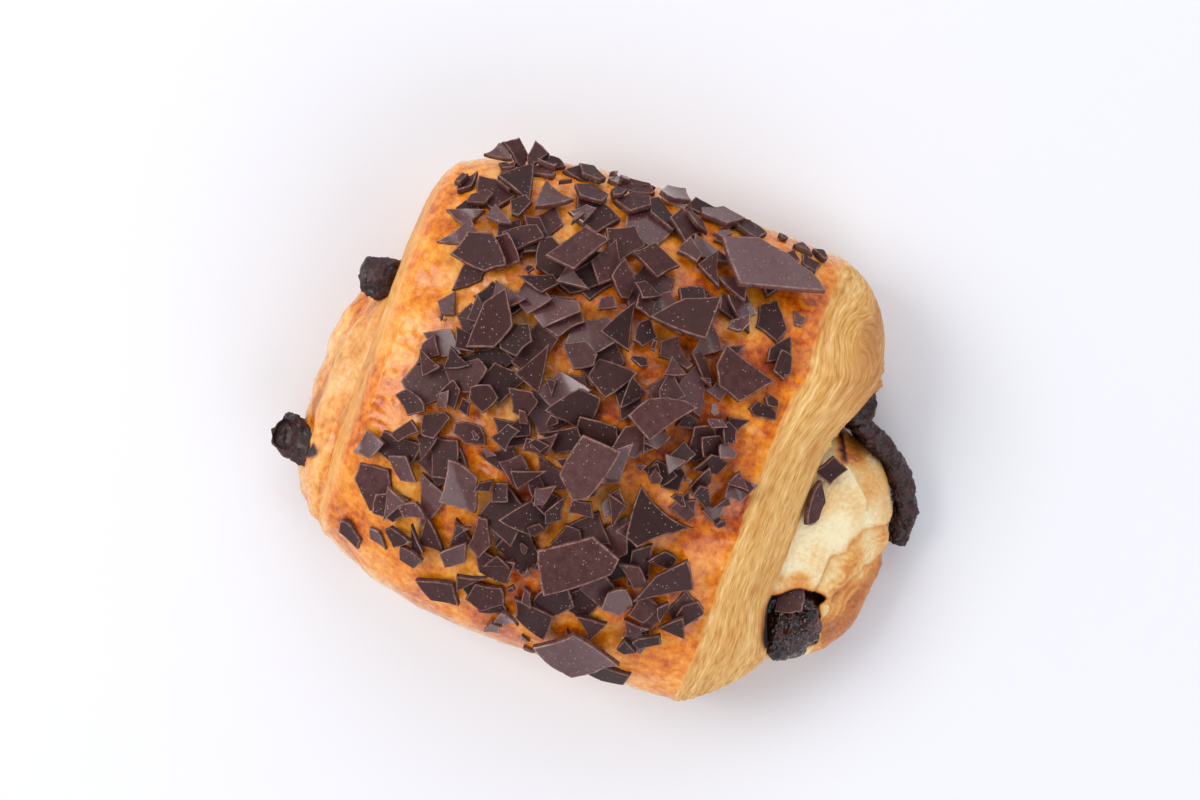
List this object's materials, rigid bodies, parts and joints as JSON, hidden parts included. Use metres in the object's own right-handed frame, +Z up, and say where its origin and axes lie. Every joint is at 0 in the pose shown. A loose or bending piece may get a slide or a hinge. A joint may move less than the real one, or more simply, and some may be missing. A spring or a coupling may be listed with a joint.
{
  "type": "pain au chocolat",
  "caption": "Baked rolled pastry with a glazed, layered crust, chocolate sticks showing at both ends, and dark chocolate shards strewn over its top.",
  "frame": {"origin": "middle of the bounding box in plan, in the plane of the flat base", "axes": "+X along the roll, the way the chocolate sticks lie, towards the end with the melted ribbon; +Y to the roll's back; +Z up"},
  "size_m": [0.1212, 0.0915, 0.0504],
  "materials": {
    "baked_dough": "egg-glazed flaky crust, golden to deep orange, paler at the cut ends",
    "baked_chocolate": "blistered, nearly black, dull with a few glossy bubbles",
    "couverture": "satin dark chocolate with paler broken edges"
  },
  "bodies": {
    "root": {"pastry": "baked_dough", "stick_front": "baked_chocolate", "stick_back": "baked_chocolate", "shard_01": "couverture", "shard_02": "couverture", "shard_03": "couverture", "shard_04": "couverture", "shard_05": "couverture", "shard_06": "couverture", "shard_07": "couverture", "shard_08": "couverture", "shard_09": "couverture", "shard_10": "couverture", "shard_11": "couverture", "shard_12": "couverture"}
  },
  "joints": []
}
